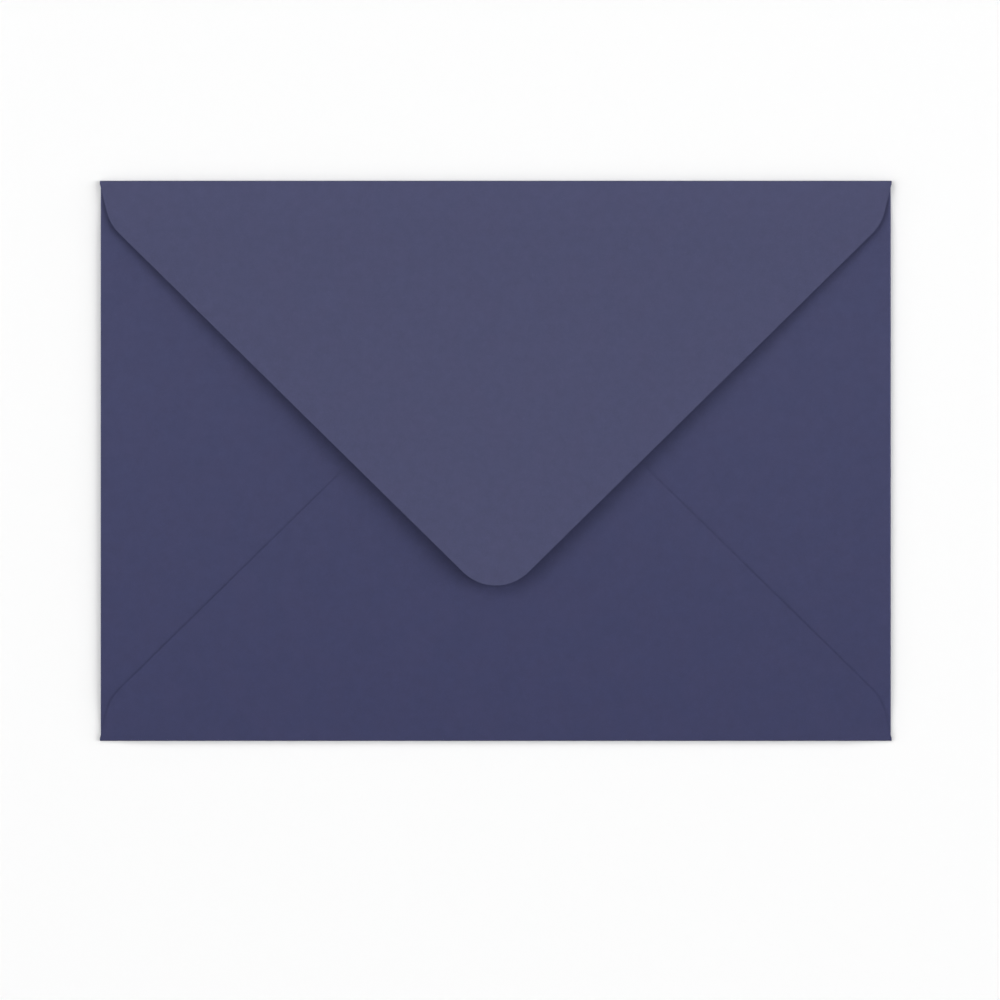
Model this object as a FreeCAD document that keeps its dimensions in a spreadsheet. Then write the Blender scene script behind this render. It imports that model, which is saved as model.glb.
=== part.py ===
import FreeCAD, Part
import math
import os

import Sketcher

# A pocket envelope for a folded card, closed and lying on its address side with its flaps upwards.
# It is one sheet of dyed paper, cut as a blank with four flaps. The two side flaps fold in first. The
# bottom flap folds up over them and is glued where it lies on them. The seal flap folds down over all
# three and isn't stuck: its fold springs open, so the flap arches up from there and is level at its tip.
#
# X runs along the long edges, Y towards the seal flap's fold, and Z up. The origin is the middle of the
# outline, on the surface that the envelope lies on. The envelope is symmetric about the YZ plane, so its
# right half is drawn and mirrored.

# Driving dimensions in millimetres and degrees: the cell's alias, its number and what it measures.
SIZES = [
    ("width", 229.0, "Outside, from end to end of the top and bottom folds"),
    ("height", 162.0, "Outside, from the bottom fold to the top fold"),
    ("paper", 0.16, "Thickness of the sheet"),
    ("pocket", 0.9, "Free height of the pocket, under the side flaps"),
    ("seal_clearance", 0.15, "Free height under the seal flap, at its fold"),
    ("seal_depth", 117.0, "From the top fold to the seal flap's tip"),
    ("seal_lift", 4.2, "Rise of the seal flap, from its fold to its tip"),
    ("bottom_depth", 116.2, "From the bottom fold to the bottom flap's tip"),
    ("tip_radius", 13.5, "Rounding of the seal and bottom flaps' tips"),
    ("seal_shoulder", 9.0, "From the top fold to the end of the seal flap's straight shoulder"),
    ("bottom_shoulder", 8.6, "From the bottom fold to the end of the bottom flap's straight shoulder"),
    ("shoulder_lean", 14.3, "Angle between a shoulder and the side fold"),
    ("shoulder_radius", 13.6, "Rounding from a shoulder into the flap's long edge"),
    ("fold_ear", 0.25, "How far the top and bottom folds stand out past the side folds"),
    ("corner_notch", 0.25, "Gap at a corner between a side fold and the bend of the top fold"),
    ("nose_drop", 55.0, "From the top fold to the straight end of a side flap"),
    ("nose_length", 14.0, "Length of that straight end"),
    ("nose_radius", 8.0, "Rounding at both ends of it"),
    ("nose_gap", 6.0, "Between the straight ends of the two side flaps"),
]

HALF_WIDTH = "Sizes.width / 2"
HALF_HEIGHT = "Sizes.height / 2"

# Undersides of the flaps above the front panel's own underside, from the lowest flap up.
SIDE_LEVEL = "(Sizes.paper + Sizes.pocket)"
BOTTOM_LEVEL = f"({SIDE_LEVEL} + Sizes.paper)"
SEAL_LEVEL = f"({BOTTOM_LEVEL} + Sizes.paper + Sizes.seal_clearance)"

# Outside radius of each fold: half of the height from the panel's underside to the flap's upper side.
SIDE_BEND = f"({SIDE_LEVEL} + Sizes.paper) / 2"
BOTTOM_BEND = f"({BOTTOM_LEVEL} + Sizes.paper) / 2"
SEAL_BEND = f"({SEAL_LEVEL} + Sizes.paper) / 2"

# Where the flat front panel ends and each fold begins, and half of a side fold's length.
SIDE_FOLD = f"({HALF_WIDTH} - Sizes.fold_ear - {SIDE_BEND})"
BOTTOM_FOLD = f"({BOTTOM_BEND} - {HALF_HEIGHT})"
SEAL_FOLD = f"({HALF_HEIGHT} - {SEAL_BEND})"
SIDE_FOLD_END = f"({SEAL_FOLD} - Sizes.corner_notch)"

TRIM_MARGIN = 5  # how far the sheet that the seal flap is cut from reaches past the flap

# The points of a line or arc and the sketch's own geometry, as a sketch numbers them.
START, END, CENTRE = range(1, 4)
ORIGIN = (-1, 1)
ACROSS_AXIS, UP_AXIS = -1, -2


def make_sheet(doc):
    """The spreadsheet that holds the driving dimensions."""
    sheet = doc.addObject("Spreadsheet::Sheet", "Sizes")
    for row, (alias, number, meaning) in enumerate(SIZES, 1):
        sheet.set(f"A{row}", alias)
        sheet.set(f"B{row}", str(number))
        sheet.set(f"C{row}", meaning)
        sheet.setAlias(f"B{row}", alias)
    doc.recompute()


def origin_plane(body, role):
    return next(feature for feature in body.Origin.OriginFeatures if feature.Role == role)


def toward(angle, length=1.0):
    """A vector in a sketch's plane, by its angle in radians."""
    return FreeCAD.Vector(length * math.cos(angle), length * math.sin(angle), 0)


class Profile:
    """A sketch in one of the body's own planes, with every size bound to the spreadsheet.

    Points are pairs of expressions, across and up from the origin, and "0" is on the axis itself."""

    def __init__(self, body, name, role, level=None):
        self.sketch = body.newObject("Sketcher::SketchObject", name)
        self.sketch.AttachmentSupport = (origin_plane(body, role), [""])
        self.sketch.MapMode = "FlatFace"
        if level:
            self.sketch.setExpression("AttachmentOffset.Base.z", level)

    def value(self, expression):
        """The number that an expression has now."""
        return float(self.sketch.evalExpression(expression))

    def place(self, point):
        return FreeCAD.Vector(self.value(point[0]), self.value(point[1]), 0)

    def line(self, start, end):
        return self.sketch.addGeometry(Part.LineSegment(start, end))

    def arc(self, centre, radius, first, last):
        """An arc that runs anticlockwise between two angles in radians."""
        circle = Part.Circle(centre, FreeCAD.Vector(0, 0, 1), radius)
        return self.sketch.addGeometry(Part.ArcOfCircle(circle, first, last))

    def relate(self, kind, *references):
        self.sketch.addConstraint(Sketcher.Constraint(kind, *references))

    def measure(self, kind, references, expression):
        """A dimension that follows the spreadsheet."""
        constraint = Sketcher.Constraint(kind, *references, self.value(expression))
        index = self.sketch.addConstraint(constraint)
        self.sketch.setExpression(f"Constraints[{index}]", expression)

    def pin_across(self, geometry, end, across):
        if across == "0":
            self.relate("PointOnObject", geometry, end, UP_AXIS)
        else:
            self.measure("DistanceX", (*ORIGIN, geometry, end), across)

    def pin_up(self, geometry, end, up):
        if up == "0":
            self.relate("PointOnObject", geometry, end, ACROSS_AXIS)
        else:
            self.measure("DistanceY", (*ORIGIN, geometry, end), up)

    def pin(self, geometry, end, point):
        self.pin_across(geometry, end, point[0])
        self.pin_up(geometry, end, point[1])

    def join(self, first, points, last):
        """Straight lines from one end of a drawn piece, through pinned points, to another end."""
        ends = [self.sketch.getPoint(*first), *map(self.place, points), self.sketch.getPoint(*last)]
        lines = [self.line(start, end) for start, end in zip(ends, ends[1:])]
        self.relate("Coincident", *first, lines[0], START)
        for before, after, point in zip(lines, lines[1:], points):
            self.relate("Coincident", before, END, after, START)
            self.pin(before, END, point)
        self.relate("Coincident", lines[-1], END, *last)

    def polygon(self, points):
        """A closed outline of straight lines through pinned points."""
        first = self.line(self.place(points[0]), self.place(points[1]))
        self.pin(first, START, points[0])
        self.pin(first, END, points[1])
        self.join((first, END), points[2:], (first, START))


def pad(body, name, profile, length, side="One side"):
    """Draws a profile out along its normal, by an expression, and adds it to the body."""
    feature = body.newObject("PartDesign::Pad", name)
    feature.Profile = profile.sketch
    feature.SideType = side
    feature.setExpression("Length", length)
    body.Document.recompute()


def half_round(profile, fold, bend, facing):
    """The section of a closed fold: a half ring on a centre line, from the panel to a flap above it.

    facing is 1 where it bulges across the sketch to the right, and -1 to the left."""
    centre = profile.place((fold, bend))
    first, last = (-math.pi / 2, math.pi / 2) if facing > 0 else (math.pi / 2, 3 * math.pi / 2)
    low, high = (START, END) if facing > 0 else (END, START)

    rings = []
    for inset, bottom in (("0", "0"), ("Sizes.paper", "Sizes.paper")):
        radius = profile.value(f"{bend} - {inset}")
        ring = profile.arc(centre, radius, first, last)
        profile.pin(ring, low, (fold, bottom))
        profile.pin(ring, high, (fold, f"2 * {bend} - {inset}"))
        profile.pin_across(ring, CENTRE, fold)
        rings.append(ring)
    for end in (low, high):
        profile.join((rings[0], end), [], (rings[1], end))


def flap_edge(profile, side, fold, shoulder_drop, depth):
    """The right half of the cut edge of the seal flap or the bottom flap, from its fold to its tip.

    side is 1 for the flap at the top fold and -1 for the one at the bottom fold. shoulder_drop and depth
    reach from the outside of the fold to the end of the straight shoulder and to the tip. Returns the
    first and last points of the edge."""

    def below(distance):
        """The height in the sketch at a distance from the outside of the fold."""
        return f"{side} * ({HALF_HEIGHT} - ({distance}))"

    inward = f"{side} * ({fold} - {below(shoulder_drop)}) * tan(Sizes.shoulder_lean)"
    shoulder_end = (f"{HALF_WIDTH} - {inward}", below(shoulder_drop))
    tip = ("0", below(depth))

    # The edge's normal turns from the shoulder's to the long edge's and then to the tip's, which points
    # away from the fold. The long edge starts here along the line between the two arcs' centres.
    shoulder_radius = profile.value("Sizes.shoulder_radius")
    tip_radius = profile.value("Sizes.tip_radius")
    shoulder_normal = -side * math.radians(profile.value("Sizes.shoulder_lean"))
    tip_normal = -side * math.pi / 2
    shoulder_centre = profile.place(shoulder_end) - toward(shoulder_normal, shoulder_radius)
    tip_centre = profile.place(tip) - toward(tip_normal, tip_radius)
    slope = shoulder_centre - tip_centre
    long_normal = math.atan2(slope.y, slope.x) - side * math.pi / 2

    # Arcs run anticlockwise, so at the top fold they start at the end that is nearer to the tip.
    near_fold, near_tip = (END, START) if side > 0 else (START, END)
    shoulder_turn = sorted((shoulder_normal, long_normal))
    tip_turn = sorted((long_normal, tip_normal))
    straight_line = profile.line(profile.place((HALF_WIDTH, fold)), profile.place(shoulder_end))
    shoulder = profile.arc(shoulder_centre, shoulder_radius, *shoulder_turn)
    long_edge = profile.line(
        shoulder_centre + toward(long_normal, shoulder_radius), tip_centre + toward(long_normal, tip_radius)
    )
    tip_arc = profile.arc(tip_centre, tip_radius, *tip_turn)

    profile.pin(straight_line, START, (HALF_WIDTH, fold))
    profile.pin(straight_line, END, shoulder_end)
    profile.relate("Tangent", straight_line, END, shoulder, near_fold)
    profile.relate("Tangent", shoulder, near_tip, long_edge, START)
    profile.relate("Tangent", long_edge, END, tip_arc, near_fold)
    profile.pin_across(tip_arc, CENTRE, "0")
    profile.pin(tip_arc, near_tip, tip)
    profile.measure("Radius", (shoulder,), "Sizes.shoulder_radius")
    profile.measure("Radius", (tip_arc,), "Sizes.tip_radius")
    return (straight_line, START), (tip_arc, near_tip)


def make_seal_flap(body):
    """The top fold and the seal flap, cut out of an arched strip as wide as the envelope.

    The strip's section is a ring at the fold, a wide arc that rises from it to the tip, and a level end
    past the tip, which is cut away with the rest."""
    section = Profile(body, "SealSection", "YZ_Plane")
    tip = f"({HALF_HEIGHT} - Sizes.seal_depth)"
    tip_top = f"(2 * {SEAL_BEND} + Sizes.seal_lift)"
    strip_end = f"({tip} - {TRIM_MARGIN})"

    # The wide arc turns by the angle that the fold springs open, and rises by the seal flap's lift.
    run = section.value(f"{SEAL_FOLD} - {tip}")
    opening = 2 * math.atan(section.value("Sizes.seal_lift") / run)
    rise_radius = run / math.sin(opening)
    fold_centre = section.place((SEAL_FOLD, SEAL_BEND))
    rise_centre = fold_centre - toward(math.pi / 2 - opening, rise_radius)

    rings = []
    rises = []
    for inset, bottom in (("0", "0"), ("Sizes.paper", "Sizes.paper")):
        radius = section.value(f"{SEAL_BEND} - {inset}")
        ring = section.arc(fold_centre, radius, -math.pi / 2, math.pi / 2 - opening)
        rise = section.arc(rise_centre, rise_radius + radius, math.pi / 2 - opening, math.pi / 2)
        section.pin(ring, START, (SEAL_FOLD, bottom))
        section.relate("Tangent", ring, END, rise, START)
        section.pin_across(rise, END, tip)
        rings.append(ring)
        rises.append(rise)
    section.pin(rings[0], CENTRE, (SEAL_FOLD, SEAL_BEND))
    section.relate("Coincident", rings[0], CENTRE, rings[1], CENTRE)
    section.pin_up(rises[0], END, tip_top)
    section.pin_across(rises[0], CENTRE, tip)
    section.relate("Coincident", rises[0], CENTRE, rises[1], CENTRE)
    section.join((rings[0], START), [], (rings[1], START))
    level_end = [(strip_end, tip_top), (strip_end, f"{tip_top} - Sizes.paper")]
    section.join((rises[0], END), level_end, (rises[1], END))
    pad(body, "SealStrip", section, HALF_WIDTH)

    waste = Profile(body, "SealWaste", "XY_Plane")
    first, last = flap_edge(waste, 1, SEAL_FOLD, "Sizes.seal_shoulder", "Sizes.seal_depth")
    outside = f"{HALF_WIDTH} + {TRIM_MARGIN}"
    past_tip = f"{tip} - 2 * {TRIM_MARGIN}"
    waste.join(first, [(outside, SEAL_FOLD), (outside, past_tip), ("0", past_tip)], last)
    strip_volume = body.Shape.Volume
    trim = body.newObject("PartDesign::Pocket", "SealTrim")
    trim.Profile = waste.sketch
    trim.Type = "ThroughAll"
    trim.SideType = "Symmetric"
    body.Document.recompute()
    if not 0 < body.Shape.Volume < strip_volume:
        raise RuntimeError("the seal flap wasn't cut out of its strip")


def make_front_panel(body):
    """The address side. At each corner it runs out past the side fold, to the end of the long fold."""
    profile = Profile(body, "FrontOutline", "XY_Plane")
    profile.polygon([
        ("0", BOTTOM_FOLD),
        (HALF_WIDTH, BOTTOM_FOLD),
        (HALF_WIDTH, f"-{SIDE_FOLD_END}"),
        (SIDE_FOLD, f"-{SIDE_FOLD_END}"),
        (SIDE_FOLD, SIDE_FOLD_END),
        (HALF_WIDTH, SIDE_FOLD_END),
        (HALF_WIDTH, SEAL_FOLD),
        ("0", SEAL_FOLD),
    ])
    pad(body, "FrontPanel", profile, "Sizes.paper")


def make_side_flap(body):
    """The side fold and the side flap, whose blunt end nearly meets the other one's."""
    section = Profile(body, "SideSection", "XZ_Plane")
    half_round(section, SIDE_FOLD, SIDE_BEND, 1)
    pad(body, "SideFold", section, f"2 * {SIDE_FOLD_END}", "Symmetric")

    profile = Profile(body, "SideOutline", "XY_Plane", SIDE_LEVEL)
    nose = "Sizes.nose_gap / 2"
    nose_top = (nose, f"{HALF_HEIGHT} - Sizes.nose_drop")
    nose_bottom = (nose, f"{HALF_HEIGHT} - Sizes.nose_drop - Sizes.nose_length")
    radius = profile.value("Sizes.nose_radius")
    end_line = profile.line(profile.place(nose_top), profile.place(nose_bottom))
    profile.pin(end_line, START, nose_top)
    profile.pin(end_line, END, nose_bottom)

    fold_ends = []
    for up, corner, line_end in ((1, nose_top, START), (-1, nose_bottom, END)):
        fold_point = (SIDE_FOLD, f"{up} * {SIDE_FOLD_END}")
        centre = profile.place(corner) + FreeCAD.Vector(radius, 0, 0)
        edge = profile.place(fold_point) - centre
        edge_normal = math.atan2(edge.y, edge.x) + up * math.pi / 2
        turn = sorted((edge_normal % (2 * math.pi), math.pi))
        rounding = profile.arc(centre, radius, *turn)
        at_edge, at_line = (START, END) if up > 0 else (END, START)
        long_edge = profile.line(centre + toward(edge_normal, radius), profile.place(fold_point))
        profile.relate("Tangent", end_line, line_end, rounding, at_line)
        profile.relate("Tangent", rounding, at_edge, long_edge, START)
        profile.measure("Radius", (rounding,), "Sizes.nose_radius")
        profile.pin(long_edge, END, fold_point)
        fold_ends.append((long_edge, END))
    profile.join(fold_ends[0], [], fold_ends[1])
    pad(body, "SideFlap", profile, "Sizes.paper")


def make_bottom_flap(body):
    """The bottom fold and the bottom flap, which lies on the side flaps and is glued to them."""
    section = Profile(body, "BottomSection", "YZ_Plane")
    half_round(section, BOTTOM_FOLD, BOTTOM_BEND, -1)
    pad(body, "BottomFold", section, HALF_WIDTH)

    profile = Profile(body, "BottomOutline", "XY_Plane", BOTTOM_LEVEL)
    first, last = flap_edge(profile, -1, BOTTOM_FOLD, "Sizes.bottom_shoulder", "Sizes.bottom_depth")
    profile.join(last, [("0", BOTTOM_FOLD)], first)
    pad(body, "BottomFlap", profile, "Sizes.paper")


def make_envelope(doc):
    """The whole folded blank: the right half, flap by flap, and its mirror image."""
    body = doc.addObject("PartDesign::Body", "Envelope")
    body.Label = "envelope"
    make_seal_flap(body)
    make_front_panel(body)
    make_side_flap(body)
    make_bottom_flap(body)
    mirror = body.newObject("PartDesign::Mirrored", "LeftHalf")
    mirror.TransformMode = "Whole shape"
    mirror.MirrorPlane = (origin_plane(body, "YZ_Plane"), [""])
    body.Tip = mirror
    doc.recompute()
    return body


def check(doc, body):
    """Stops before anything is written if any object failed."""
    for thing in doc.Objects:
        if "Invalid" in thing.State or "Error" in thing.State:
            raise RuntimeError(f"{thing.Name} failed: {thing.State}")
        if thing.TypeId == "Sketcher::SketchObject" and not thing.FullyConstrained:
            raise RuntimeError(f"{thing.Name} isn't fully constrained")
    shape = body.Shape
    if shape.isNull() or not shape.isValid() or len(shape.Solids) != 1:
        raise RuntimeError(f"{body.Label} isn't one valid solid")


def main():
    doc = FreeCAD.newDocument("Envelope")
    make_sheet(doc)
    body = make_envelope(doc)
    check(doc, body)
    os.makedirs("parts", exist_ok=True)
    body.Shape.exportStep(f"parts/{body.Label}.step")
    box = body.Shape.BoundBox
    print(f"{body.Label}: {box.XLength:.2f} x {box.YLength:.2f} x {box.ZLength:.2f} mm,"
          f" {body.Shape.Volume:.0f} mm3, {len(body.Shape.Faces)} faces")


main()
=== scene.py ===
import math

import bpy
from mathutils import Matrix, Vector, noise


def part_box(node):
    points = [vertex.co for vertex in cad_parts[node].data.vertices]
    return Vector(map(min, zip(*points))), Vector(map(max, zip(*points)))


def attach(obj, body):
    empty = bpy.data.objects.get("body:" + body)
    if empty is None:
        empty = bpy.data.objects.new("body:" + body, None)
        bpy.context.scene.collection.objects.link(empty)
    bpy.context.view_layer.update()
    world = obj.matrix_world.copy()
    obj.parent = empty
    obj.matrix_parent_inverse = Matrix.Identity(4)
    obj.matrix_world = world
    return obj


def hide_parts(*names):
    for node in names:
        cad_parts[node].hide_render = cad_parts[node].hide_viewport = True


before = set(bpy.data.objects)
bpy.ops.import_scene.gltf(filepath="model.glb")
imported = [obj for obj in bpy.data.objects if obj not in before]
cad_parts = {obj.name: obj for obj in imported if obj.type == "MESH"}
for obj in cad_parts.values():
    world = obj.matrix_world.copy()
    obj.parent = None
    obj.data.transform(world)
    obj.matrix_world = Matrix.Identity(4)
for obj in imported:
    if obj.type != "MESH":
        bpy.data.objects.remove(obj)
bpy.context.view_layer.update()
low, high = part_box("envelope")

# The envelope is one sheet of paper, and so is its mesh: a middle surface that runs from the front panel
# through four folds into four flaps, thickened to an outer face, an inner face and a cut edge.
# X is along the long edges, Y towards the seal flap's fold and Z up. Lengths are in metres.

MM = 0.001

WIDTH = high.x - low.x
HEIGHT = high.y - low.y
PAPER = 0.16 * MM
POCKET = 0.9 * MM  # free height under the side flaps
SEAL_CLEARANCE = 0.15 * MM  # free height under the seal flap, at its fold
SEAL_DEPTH = 117.0 * MM  # from the top fold to the seal flap's tip
BOTTOM_DEPTH = 116.2 * MM  # from the bottom fold to the bottom flap's tip
TIP_RADIUS = 13.5 * MM
SEAL_SHOULDER = 9.0 * MM  # from the top fold to the end of the seal flap's straight shoulder
BOTTOM_SHOULDER = 8.6 * MM  # from the bottom fold to the end of the bottom flap's straight shoulder
SHOULDER_LEAN = math.radians(14.3)
SHOULDER_RADIUS = 13.6 * MM
FOLD_EAR = 0.25 * MM  # how far the top and bottom folds stand out past the side folds
CORNER_NOTCH = 0.25 * MM  # gap at a corner between a side fold and the bend of the top fold
NOSE_DROP = 55.0 * MM  # from the top fold to the straight end of a side flap
NOSE_LENGTH = 14.0 * MM
NOSE_RADIUS = 8.0 * MM
NOSE_GAP = 6.0 * MM

# Outside radius of each fold, where the flat panel ends at it, and how far the seal flap's tip rises.
SIDE_BEND = POCKET / 2 + PAPER
BOTTOM_BEND = SIDE_BEND + PAPER / 2
SEAL_BEND = BOTTOM_BEND + (PAPER + SEAL_CLEARANCE) / 2
SIDE_FOLD = WIDTH / 2 - FOLD_EAR - SIDE_BEND
BOTTOM_FOLD = HEIGHT / 2 - BOTTOM_BEND
SEAL_FOLD = HEIGHT / 2 - SEAL_BEND
SIDE_FOLD_END = SEAL_FOLD - CORNER_NOTCH
SEAL_LIFT = high.z - low.z - 2 * SEAL_BEND

# How the paper departs from a taut, flat one.
CROWN = 0.35 * MM  # how far the flaps over the pocket bulge in the middle
LEFT_SPRING = 0.45 * MM  # how far each fold of the pocket springs open between the corners
RIGHT_SPRING = 0.2 * MM
BOTTOM_SPRING = 0.45 * MM
SPRING_REACH = 15 * MM  # from a fold to where the flap is level again
SPRING_RUN = 14 * MM  # from a corner to where the fold is fully sprung
PINCH = 0.4 * MM  # how far the corners are pressed in
PINCH_REACH = 18 * MM
GLUE = 0.01 * MM  # between the bottom flap and the side flaps
GLUE_REACH = 3 * MM  # from a side fold to where its flap lies that much lower
SLIT = 0.03 * MM  # cut between the end of a side fold and the front panel's corner
EDGE_LIFT = 0.12 * MM  # how far the bottom flap's cut edge stands off them where it is loosest
EDGE_LOOSEST = 38 * MM  # from the bottom fold to there
EDGE_PRESSED = 0.8  # share of the lift that is pressed flat under the seal flap
EDGE_MARGIN = 2.5 * MM  # width of the edge that the glue doesn't reach
SEAL_WAVE = 0.25 * MM  # unevenness of the seal flap at its tip
WAVE_LENGTH = 80 * MM

COLUMNS = 88  # cells across a long fold
SIDE_COLUMNS = 60  # cells along a side fold
FOLD_STEPS = 14  # cells round a fold
ARC_STEPS = 12  # cells round a rounding of a cut edge
EDGE_STEPS = 50  # cells along a straight cut edge
SHOULDER_STEPS = 8  # cells along a shoulder
EASE = 0.6  # how much closer together the cells are near the folds, from 0 to 1
ONE_POINT = 0.01 * MM  # a row shorter than this is a single point
EDGE_SLANT = math.radians(45)  # about how far the long cut edges lean from their folds
SHARP_ANGLE = math.radians(50)  # faces that turn by more than this meet in a sharp edge

# The blank before it was folded. Its area in square metres is the solid's volume over its thickness.
BEND_LENGTHS = [math.pi * (bend - PAPER / 2) for bend in (SIDE_BEND, BOTTOM_BEND, SEAL_BEND)]
FLAT_WIDTH = 2 * (SIDE_FOLD + BEND_LENGTHS[0] + WIDTH / 2 - FOLD_EAR - NOSE_GAP / 2 - SIDE_BEND)
FLAT_LENGTH = BOTTOM_FOLD + BEND_LENGTHS[1] + BOTTOM_DEPTH - BOTTOM_BEND
FLAT_LENGTH += SEAL_FOLD + BEND_LENGTHS[2] + SEAL_DEPTH - SEAL_BEND

UP = Vector((0, 0, 1))


def smooth(share):
    """An even step from 0 to 1 as a share goes from 0 to 1."""
    share = min(1, max(0, share))
    return share * share * (3 - 2 * share)


def spread(start, end, cells):
    """Places from start to end, closer together near both, where the paper curls."""
    shares = (2 * i / cells - 1 for i in range(cells + 1))
    eased = (EASE * (1.5 * share - 0.5 * share**3) + (1 - EASE) * share for share in shares)
    return [start + (end - start) * (share + 1) / 2 for share in eased]


def toward(angle, length):
    """A vector in a plane, from its angle and its length."""
    return Vector((math.cos(angle), math.sin(angle))) * length


class Sheet:
    """Paper as cells between points on its middle surface. Each point has the way that its outer side
    faces, how sharply it is creased and how much painted sheen its outer side gets, from 0 to 1."""

    def __init__(self):
        self.points = []
        self.facings = []
        self.creases = []
        self.painted_sheens = []
        self.cells = []

    def add(self, point, facing, crease=0.0, painted_sheen=0.0):
        self.points.append(point)
        self.facings.append(facing.normalized())
        self.creases.append(crease)
        self.painted_sheens.append(painted_sheen)
        return len(self.points) - 1

    def cell(self, *corners):
        """A cell between points, turned so that its normal is on the sheet's outer side."""
        a, b, c = (self.points[i] for i in corners[:3])
        if (b - a).cross(c - a).dot(self.facings[corners[-1]]) < 0:
            corners = corners[::-1]
        self.cells.append(corners)

    def grow(self, row, new_rows):
        """Adds the cells from a row of points to each new row in turn. The last may be a single point."""
        for new_row in new_rows:
            new = [self.add(*sample) for sample in new_row]
            if len(new) == 1:
                new *= len(row)
            for i in range(len(row) - 1):
                self.cell(*dict.fromkeys((row[i], row[i + 1], new[i + 1], new[i])))
            row = new
        return row

    def mesh(self, name):
        """The outer face, the inner face and the cut edge, as one closed mesh. The cut edge is its second
        material."""
        count = len(self.points)
        offsets = [facing * PAPER / 2 for facing in self.facings]
        vertices = [point + offset for point, offset in zip(self.points, offsets)]
        vertices += [point - offset for point, offset in zip(self.points, offsets)]
        faces = self.cells + [tuple(i + count for i in corners[::-1]) for corners in self.cells]
        sides = {pair for corners in self.cells for pair in zip(corners, corners[1:] + corners[:1])}
        rim = sorted((a, b) for a, b in sides if (b, a) not in sides)
        faces += [(b, a, a + count, b + count) for a, b in rim]
        mesh = bpy.data.meshes.new(name)
        mesh.from_pydata(vertices, [], faces)
        mesh.shade_smooth()
        mesh.set_sharp_from_angle(angle=SHARP_ANGLE)
        for polygon in mesh.polygons[-len(rim):]:
            polygon.material_index = 1
        # crease marks both faces; the share of painted sheen is on the outer face only
        for wear_and_sheen, outer, inner in (("crease", self.creases, self.creases), ("painted_sheen", self.painted_sheens, [0.0] * count)):
            mesh.attributes.new(wear_and_sheen, "FLOAT", "POINT").data.foreach_set("value", outer + inner)
        return mesh


# A flap's shape is drawn in two lengths: along its fold, from the fold's middle, and down from the
# outside of the fold. A place function takes a point along the fold, out past the fold's centre line
# and up from the table, and returns it in the envelope's own frame.


def top_place(along, out, up):
    return Vector((along, SEAL_FOLD + out, up))


def bottom_place(along, out, up):
    return Vector((along, -BOTTOM_FOLD - out, up))


def right_place(along, out, up):
    return Vector((SIDE_FOLD + out, along, up))


def left_place(along, out, up):
    return Vector((-SIDE_FOLD - out, along, up))


def fold_rows(alongs, place, bend, opening=0.0, painted_sheen=0.0):
    """The rows of a closed fold after the panel's edge. It turns by a half turn, less its opening, and
    the last argument is how much painted sheen the flap after it gets."""
    for step in range(1, FOLD_STEPS + 1):
        turned = step / FOLD_STEPS
        out, up = toward(-math.pi / 2 + (math.pi - opening) * turned, bend - PAPER / 2)
        facing = place(0, out, up) - place(0, 0, 0)
        crease = math.sin(math.pi * turned)
        yield [(place(along, out, bend + up), facing, crease, painted_sheen * smooth(turned)) for along in alongs]


def flap_rows(alongs, place, edges, bend, height, painted_sheen=0.0):
    """A flap's rows from its fold to its tip, between its two cut edges. height gives the flap's underside
    from a point's place on the flap and its distance from the nearer cut edge."""
    for one, other in zip(*edges):
        span = alongs[-1] - alongs[0]
        shares = [(along - alongs[0]) / span for along in alongs]
        if (one - other).length < ONE_POINT:
            shares = [0.5]
        row = []
        for share in shares:
            along, down = one.lerp(other, share)
            inset = min(share, 1 - share) * (other - one).length * math.sin(EDGE_SLANT)
            row.append((place(along, bend - down, height(along, down, inset) + PAPER / 2), UP, 0.0, painted_sheen))
        yield row


def cut_edge(circles, side, facing):
    """Half of a flap's cut edge: round each circle in turn, and straight from each to the next, until it
    faces away from the fold. side is 1 for the half on the right and -1 on the left, and facing is the
    angle that it faces where it starts."""
    points = []
    for (centre, radius), following in zip(circles, [*circles[1:], None]):
        turned = math.pi / 2
        if following:
            across = following[0] - centre
            heading = math.atan2(across.y, across.x)
            turned = heading - side * math.acos((radius - following[1]) / across.length)
        steps = ARC_STEPS if radius else 0
        turn = (turned - facing) / max(steps, 1)
        arc = [centre + toward(facing + turn * i, radius) for i in range(steps + 1)]
        if points:
            start = points[-1]
            points += [start.lerp(arc[0], i / EDGE_STEPS) for i in range(1, EDGE_STEPS)]
        points += arc
        facing = turned
    return points


def long_flap_edges(bend, shoulder_drop, depth):
    """Both cut edges of the seal flap or the bottom flap: a straight shoulder, a rounding, a long straight
    edge and the rounded tip."""
    inward = (shoulder_drop - bend) * math.tan(SHOULDER_LEAN)
    shoulder_end = Vector((WIDTH / 2 - inward, shoulder_drop))
    shoulder = (shoulder_end - toward(SHOULDER_LEAN, SHOULDER_RADIUS), SHOULDER_RADIUS)
    tip = (Vector((0, depth - TIP_RADIUS)), TIP_RADIUS)
    start = Vector((WIDTH / 2, bend))
    right = [start.lerp(shoulder_end, i / SHOULDER_STEPS) for i in range(1, SHOULDER_STEPS)]
    right += cut_edge([shoulder, tip], 1, SHOULDER_LEAN)
    return [Vector((-point.x, point.y)) for point in right], right


def side_flap_edges():
    """Both cut edges of a side flap, from the ends of its fold to the middle of its blunt end."""
    edges = []
    for side, nose in ((-1, HEIGHT / 2 - NOSE_DROP - NOSE_LENGTH), (1, HEIGHT / 2 - NOSE_DROP)):
        fold_point = (Vector((side * (SIDE_FOLD_END - SLIT), SIDE_BEND)), 0)
        rounding = Vector((nose, WIDTH / 2 - FOLD_EAR - NOSE_GAP / 2 - NOSE_RADIUS))
        edges.append(cut_edge([fold_point, (rounding, NOSE_RADIUS)], side, 0)[1:])
    return edges


def crown(x, y):
    """The pocket springs open a little, so the flaps over it bulge between the four folds."""
    return CROWN * max(0, 1 - (2 * x / WIDTH) ** 2) * max(0, 1 - (2 * y / HEIGHT) ** 2)


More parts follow.
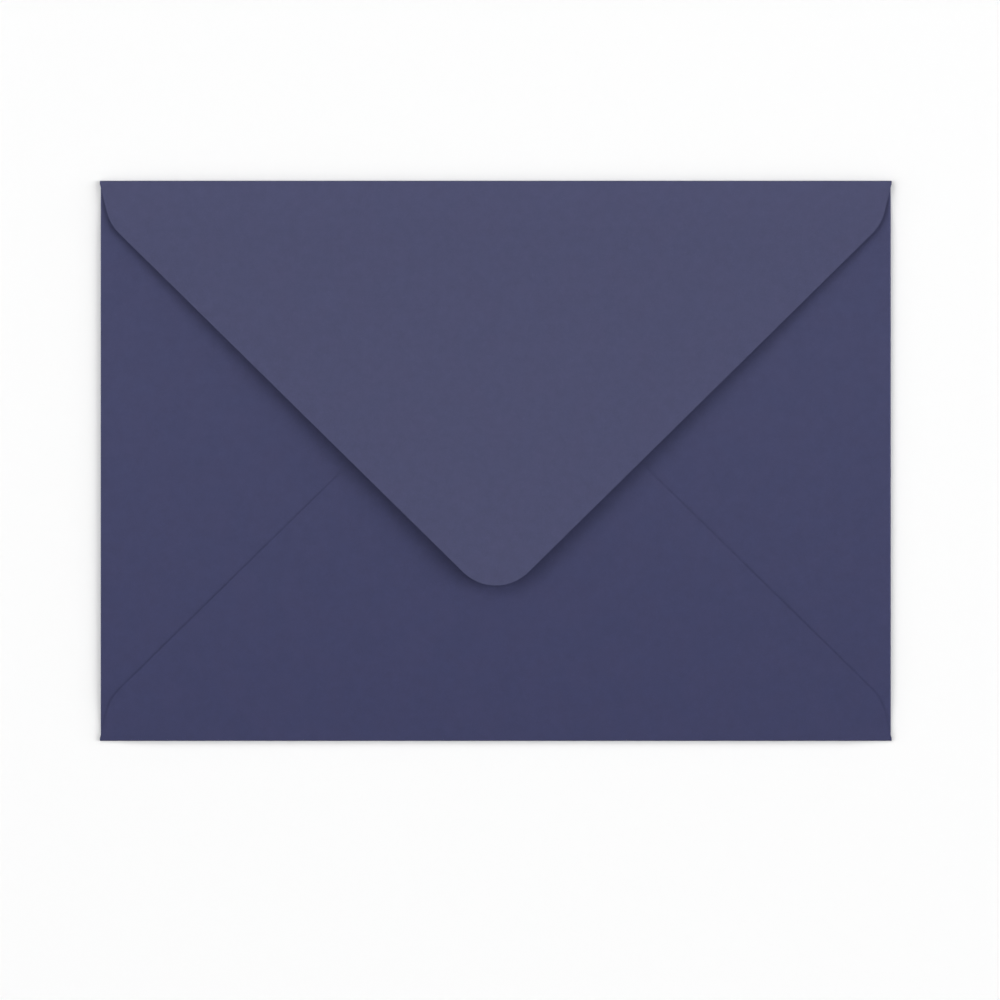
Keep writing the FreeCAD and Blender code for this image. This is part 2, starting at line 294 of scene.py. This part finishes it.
def sprung(x, y):
    """How much higher the paper over the pocket is than its folds' bends make it: the side folds and the
    bottom fold spring open along their lengths, and the corners are pressed in."""
    side, end, bottom = WIDTH / 2 - abs(x), HEIGHT / 2 - abs(y), HEIGHT / 2 + y
    side_spring = LEFT_SPRING if x < 0 else RIGHT_SPRING
    rise = side_spring * smooth(1 - side / SPRING_REACH) * smooth(end / SPRING_RUN)
    rise += BOTTOM_SPRING * smooth(1 - bottom / SPRING_REACH) * smooth(side / SPRING_RUN)
    return rise - PINCH * (1 - smooth(math.hypot(side, end) / PINCH_REACH))


def settle(sheet):
    """Springs the folds and presses the corners in. Every layer above the pocket moves as far, and the
    front panel stays flat."""
    for point in sheet.points:
        height_share = (point.z - PAPER / 2) / (2 * SIDE_BEND - PAPER)
        point.z += min(1, height_share) * sprung(point.x, point.y)


def make_front_panel(sheet, acrosses, rises):
    """The address side, flat on the table. Past the side folds, only its ends run out to the corners."""
    panel = [[sheet.add(Vector((x, y, PAPER / 2)), -UP) for x in acrosses] for y in rises]
    for j, (lower, upper) in enumerate(zip(panel, panel[1:])):
        narrow = 0 < j < len(panel) - 2
        for i in range(narrow, len(acrosses) - 1 - narrow):
            sheet.cell(lower[i], lower[i + 1], upper[i + 1], upper[i])
    return panel


def make_side_flap(sheet, row, place):
    """A side fold and its flap, whose blunt end nearly meets the other one's."""
    alongs = spread(SLIT - SIDE_FOLD_END, SIDE_FOLD_END - SLIT, SIDE_COLUMNS)

    def height(along, down, inset):
        pressed = GLUE * smooth((down - SIDE_BEND) / GLUE_REACH)
        return 2 * SIDE_BEND - PAPER + crown(place(along, SIDE_BEND - down, 0).x, along) - pressed

    row = sheet.grow(row, fold_rows(alongs, place, SIDE_BEND))
    sheet.grow(row, flap_rows(alongs, place, side_flap_edges(), SIDE_BEND, height))


def make_bottom_flap(sheet, row, alongs):
    """The bottom fold and the bottom flap, glued to the side flaps but for its very edge. The seal flap
    presses that edge flat again towards the tip."""

    def height(along, down, inset):
        loose = smooth(down / EDGE_LOOSEST) - EDGE_PRESSED * smooth(down / EDGE_LOOSEST - 1)
        lift = GLUE + EDGE_LIFT * loose * (1 - smooth(inset / EDGE_MARGIN))
        return 2 * BOTTOM_BEND - PAPER + crown(along, down - HEIGHT / 2) + lift

    edges = long_flap_edges(BOTTOM_BEND, BOTTOM_SHOULDER, BOTTOM_DEPTH)
    row = sheet.grow(row, fold_rows(alongs, bottom_place, BOTTOM_BEND))
    sheet.grow(row, flap_rows(alongs, bottom_place, edges, BOTTOM_BEND, height))


def make_seal_flap(sheet, row, alongs):
    """The top fold, sprung open, and the seal flap, which arches from it and is level at its tip. Its
    outer side is painted paler all over, a painted sheen."""
    run = SEAL_DEPTH - SEAL_BEND
    opening = 2 * math.atan(SEAL_LIFT / run)
    rise_radius = run / math.sin(opening) + SEAL_BEND

    def height(along, down, inset):
        arch = SEAL_LIFT - rise_radius + math.sqrt(rise_radius**2 - (SEAL_DEPTH - down) ** 2)
        wave = SEAL_WAVE * noise.noise(Vector((along, down, WAVE_LENGTH)) / WAVE_LENGTH)
        return 2 * SEAL_BEND - PAPER + arch + wave * smooth(down / SEAL_DEPTH)

    edges = long_flap_edges(SEAL_BEND, SEAL_SHOULDER, SEAL_DEPTH)
    # the top fold and the seal flap get the painted sheen
    row = sheet.grow(row, fold_rows(alongs, top_place, SEAL_BEND, opening, painted_sheen=1.0))
    sheet.grow(row, flap_rows(alongs, top_place, edges, SEAL_BEND, height, painted_sheen=1.0))


def make_envelope():
    """The whole sheet: the front panel, the four folds and the four flaps."""
    sheet = Sheet()
    acrosses = [-WIDTH / 2, *spread(-SIDE_FOLD, SIDE_FOLD, COLUMNS), WIDTH / 2]
    rises = spread(-SIDE_FOLD_END, SIDE_FOLD_END, SIDE_COLUMNS)
    panel = make_front_panel(sheet, acrosses, [-BOTTOM_FOLD, *rises, SEAL_FOLD])
    make_side_flap(sheet, [row[1] for row in panel[1:-1]], left_place)
    make_side_flap(sheet, [row[-2] for row in panel[1:-1]], right_place)
    make_bottom_flap(sheet, panel[0], acrosses)
    make_seal_flap(sheet, panel[-1], acrosses)
    settle(sheet)
    envelope = bpy.data.objects.new("folded_paper", sheet.mesh("folded_paper"))
    bpy.context.scene.collection.objects.link(envelope)
    return envelope


class Value:
    """A number or colour that varies over a surface. Arithmetic on numbers adds their Math nodes."""

    def __init__(self, finish, socket):
        self.finish = finish
        self.socket = socket

    def __add__(self, other):
        return self.finish.maths("ADD", self, other)

    def __sub__(self, other):
        return self.finish.maths("SUBTRACT", self, other)

    def __rsub__(self, other):
        return self.finish.maths("SUBTRACT", other, self)

    def __mul__(self, other):
        return self.finish.maths("MULTIPLY", self, other)

    __radd__ = __add__
    __rmul__ = __mul__


class Finish:
    """A tree of shader nodes, which node() adds to."""

    def __init__(self, owner):
        owner.use_nodes = True
        self.tree = owner.node_tree
        self.tree.nodes.clear()

    def node(self, kind, settings=None, output=0, **inputs):
        """Adds a node. Its settings are set before its inputs, which are numbers, colours or other values,
        named as its sockets are, with _ for a space, or numbered as input_0, input_1."""
        made = self.tree.nodes.new("ShaderNode" + kind)
        for setting, value in (settings or {}).items():
            setattr(made, setting, value)
        for name, value in inputs.items():
            key = int(name[6:]) if name.startswith("input_") else name.replace("_", " ")
            if isinstance(value, Value):
                self.tree.links.new(value.socket, made.inputs[key])
            else:
                made.inputs[key].default_value = value
        return Value(self, made.outputs[output]) if made.outputs else None

    def maths(self, operation, first, second):
        return self.node("Math", {"operation": operation}, input_0=first, input_1=second)

    def fit(self, value, low, high, new_low=0.0, new_high=1.0):
        """A value's range from low to high, carried smoothly to another range."""
        settings = {"interpolation_type": "SMOOTHSTEP"}
        return self.node(
            "MapRange", settings, Value=value, From_Min=low, From_Max=high, To_Min=new_low, To_Max=new_high
        )

    def blend(self, first, second, share):
        """Two colours, mixed by a share of the second."""
        return self.node("Mix", {"data_type": "RGBA"}, output=2, input_0=share, input_6=first, input_7=second)

    def dim(self, colour, strength):
        """A colour with all its channels multiplied alike."""
        return self.node("VectorMath", {"operation": "SCALE"}, Vector=colour, Scale=strength)

    def grains(self, where, size, detail=2.0, stretch=(1, 1, 1), turn=0.0):
        """Noise in grains of one size, in metres, drawn out along a direction if stretch isn't even."""
        scale = [1 / (size * length) for length in stretch]
        turned = self.node("Mapping", {"vector_type": "TEXTURE"}, Vector=where, Rotation=(0, 0, turn))
        mapped = self.node("Mapping", {"vector_type": "POINT"}, Vector=turned, Scale=scale)
        return self.node("TexNoise", Vector=mapped, Scale=1.0, Detail=detail, Roughness=0.55)


# The sheet is dyed navy right through, and clouds of its pulp took up more or less of a violet dye. Its
# outer side is painted paler on the seal flap, a painted sheen that stands in for light, most of all beside
# the top fold.
# The rest is painted darker towards the bottom fold, a painted shade.
NAVY = (0.0443, 0.0486, 0.1202, 1)
# painted sheen: the seal flap's outer side made paler by an even grey, standing in for light
PAINTED_SHEEN_NAVY = (0.0550, 0.0592, 0.1310, 1)
# painted shade: the paper made darker towards the bottom fold, standing in for light that falls off
PAINTED_SHADE_NAVY = (0.0314, 0.0350, 0.1004, 1)
VIOLET = (0.0900, 0.0560, 0.1150, 1)
# the painted shade grows from this height to the next
PAINTED_SHADE_FROM = 60 * MM
PAINTED_SHADE_TO = -110 * MM
# painted highlight: from here up to the top fold the seal flap is painted paler still
TOP_FOLD_SHEEN = 62 * MM
VIOLET_SHARE = 0.03  # in the strongest clouds
CUT_PALENESS = 1.12  # of a cut edge, against the sheet's faces
CUT_ROUGHNESS = 0.92
FACE_ROUGHNESS = 0.84

CLOUD = 7.0 * MM  # sizes of the grains that the paper's pulp shows
FLOCK = 2.6 * MM
TOOTH = 0.2 * MM
FIBRE = 0.09 * MM
FIBRE_STRETCH = 14  # a fibre's length over its thickness
FIBRE_TURNS = (0.35, 1.4, 2.45)  # radians
RELIEF = 0.06 * MM


def navy_paper(name, cut=False):
    """Wove paper: clouds and flocks of pulp, fibres that lie all ways and a fine tooth. Broken fibres
    make its creases and cuts paler."""
    material = bpy.data.materials.new(name)
    finish = Finish(material)
    where = finish.node("TexCoord", output=3)  # in the envelope's own frame
    up = finish.node("SeparateXYZ", output=1, Vector=where)
    crease = finish.node("Attribute", {"attribute_name": "crease"}, output=2)
    # how much painted sheen each point gets
    painted_sheen = finish.node("Attribute", {"attribute_name": "painted_sheen"}, output=2)

    clouds = finish.grains(where, CLOUD, detail=1.0)
    flocks = finish.grains(where, FLOCK)
    tooth = finish.grains(where, TOOTH, detail=3.0)
    fibres = 0.0
    for turn in FIBRE_TURNS:
        lying = finish.grains(where, FIBRE, detail=1.0, stretch=(FIBRE_STRETCH, 1, 1), turn=turn)
        fibres = finish.fit(lying, 0.58, 0.76) + fibres
    broken = crease * finish.fit(tooth, 0.42, 0.68)

    # painted shade: darker towards the bottom fold, but not where the painted sheen is
    painted_shade = finish.fit(up, PAINTED_SHADE_FROM, PAINTED_SHADE_TO) * (1 - painted_sheen)
    colour = finish.blend(NAVY, PAINTED_SHADE_NAVY, painted_shade)
    # painted sheen: the seal flap made paler
    colour = finish.blend(colour, PAINTED_SHEEN_NAVY, painted_sheen)
    colour = finish.blend(colour, VIOLET, finish.fit(clouds, 0.3, 0.7) * VIOLET_SHARE)
    # creases paler from broken fibres, and a painted highlight on the seal flap beside the top fold
    wear_and_sheen = broken * 0.2 + finish.fit(up, TOP_FOLD_SHEEN, HEIGHT / 2) * painted_sheen * 0.04
    shade = (flocks - 0.5) * 0.22 + (tooth - 0.5) * 0.28 + fibres * 0.09 + wear_and_sheen + 0.975
    colour = finish.dim(colour, shade * (CUT_PALENESS if cut else 1.0))

    roughness = (tooth - 0.5) * 0.25 + (CUT_ROUGHNESS if cut else FACE_ROUGHNESS)
    relief = tooth * 0.7 + fibres * 0.3 + flocks * 0.4 + crease * flocks
    bump = finish.node("Bump", Height=relief, Strength=0.8, Distance=RELIEF)
    surface = finish.node("BsdfPrincipled", Base_Color=colour, Roughness=roughness, IOR=1.45, Normal=bump)
    finish.node("OutputMaterial", Surface=surface)
    return material


envelope = make_envelope()
envelope.data.materials.append(navy_paper("navy_paper"))
envelope.data.materials.append(navy_paper("navy_paper_cut_edge", cut=True))
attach(envelope, "root")
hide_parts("envelope")

FLOOR_REACH = 6.0
FLOOR_PALENESS = 0.93
SKY = 0.175  # brightness that the light from all around gives a level white surface
LIGHT_DISTANCE = 4.8
LIGHT_WIDTH = 2.4
CAMERA_HEIGHT = 3.0
CAMERA_LENGTHWAYS = 1.23 * MM  # from the envelope's middle
CAMERA_CROSSWAYS = -11.33 * MM
PICTURE_WIDTH = 289.3 * MM  # of the floor in the picture

# The soft boxes: each one's direction round the envelope from +X and its angle from straight above, in
# degrees, and the brightness that it gives a level white surface.
SOFT_BOXES = (
    (0, 25, 0.070),
    (180, 25, 0.084),
    (0, 50, 0.207),
    (45, 50, 0.067),
    (90, 45, 0.043),
    (135, 50, 0.142),
    (180, 50, 0.136),
    (0, 72, 0.095),
    (180, 72, 0.028),
    (225, 72, 0.068),
    (315, 72, 0.019),
)


def make_floor():
    """A pale, level floor, far wider than the picture."""
    corners = [(x * FLOOR_REACH, y * FLOOR_REACH, 0) for x, y in ((-1, -1), (1, -1), (1, 1), (-1, 1))]
    mesh = bpy.data.meshes.new("floor")
    mesh.from_pydata(corners, [], [(0, 1, 2, 3)])
    material = bpy.data.materials.new("pale_floor")
    finish = Finish(material)
    surface = finish.node("BsdfDiffuse", Color=(FLOOR_PALENESS, FLOOR_PALENESS, FLOOR_PALENESS, 1))
    finish.node("OutputMaterial", Surface=surface)
    mesh.materials.append(material)
    floor = bpy.data.objects.new("floor", mesh)
    bpy.context.scene.collection.objects.link(floor)


def make_soft_box(azimuth, zenith, brightness):
    """A square light that faces the envelope, with the power for its brightness there."""
    name = f"soft_box_{azimuth}_{zenith}"
    data = bpy.data.lights.new(name, "AREA")
    data.size = LIGHT_WIDTH
    data.energy = brightness * (math.pi * LIGHT_DISTANCE) ** 2 / math.cos(math.radians(zenith))
    light = bpy.data.objects.new(name, data)
    direction = toward(math.radians(azimuth), math.sin(math.radians(zenith)))
    light.location = Vector((*direction, math.cos(math.radians(zenith)))) * LIGHT_DISTANCE
    light.rotation_euler = (-light.location).to_track_quat("-Z", "Y").to_euler()
    light.visible_camera = False
    bpy.context.scene.collection.objects.link(light)


def make_sky():
    """Even light from all around. The camera sees it as pale as the floor."""
    world = bpy.data.worlds.new("white_tent")
    bpy.context.scene.world = world
    finish = Finish(world)
    to_camera = finish.node("LightPath")
    strength = finish.fit(to_camera, 0.0, 1.0, SKY, 1.0)
    background = finish.node("Background", Color=(1, 1, 1, 1), Strength=strength)
    finish.node("OutputWorld", Surface=background)


def make_camera():
    """Straight above, a little below the envelope's middle, as the photograph was taken."""
    data = bpy.data.cameras.new("camera")
    data.sensor_width = 36
    data.lens = data.sensor_width * CAMERA_HEIGHT / PICTURE_WIDTH
    data.clip_end = 50
    camera = bpy.data.objects.new("camera", data)
    camera.location = (CAMERA_LENGTHWAYS, CAMERA_CROSSWAYS, CAMERA_HEIGHT)
    bpy.context.scene.collection.objects.link(camera)
    bpy.context.scene.camera = camera


make_floor()
make_sky()
for soft_box in SOFT_BOXES:
    make_soft_box(*soft_box)
make_camera()
bpy.context.scene.view_settings.view_transform = "Standard"
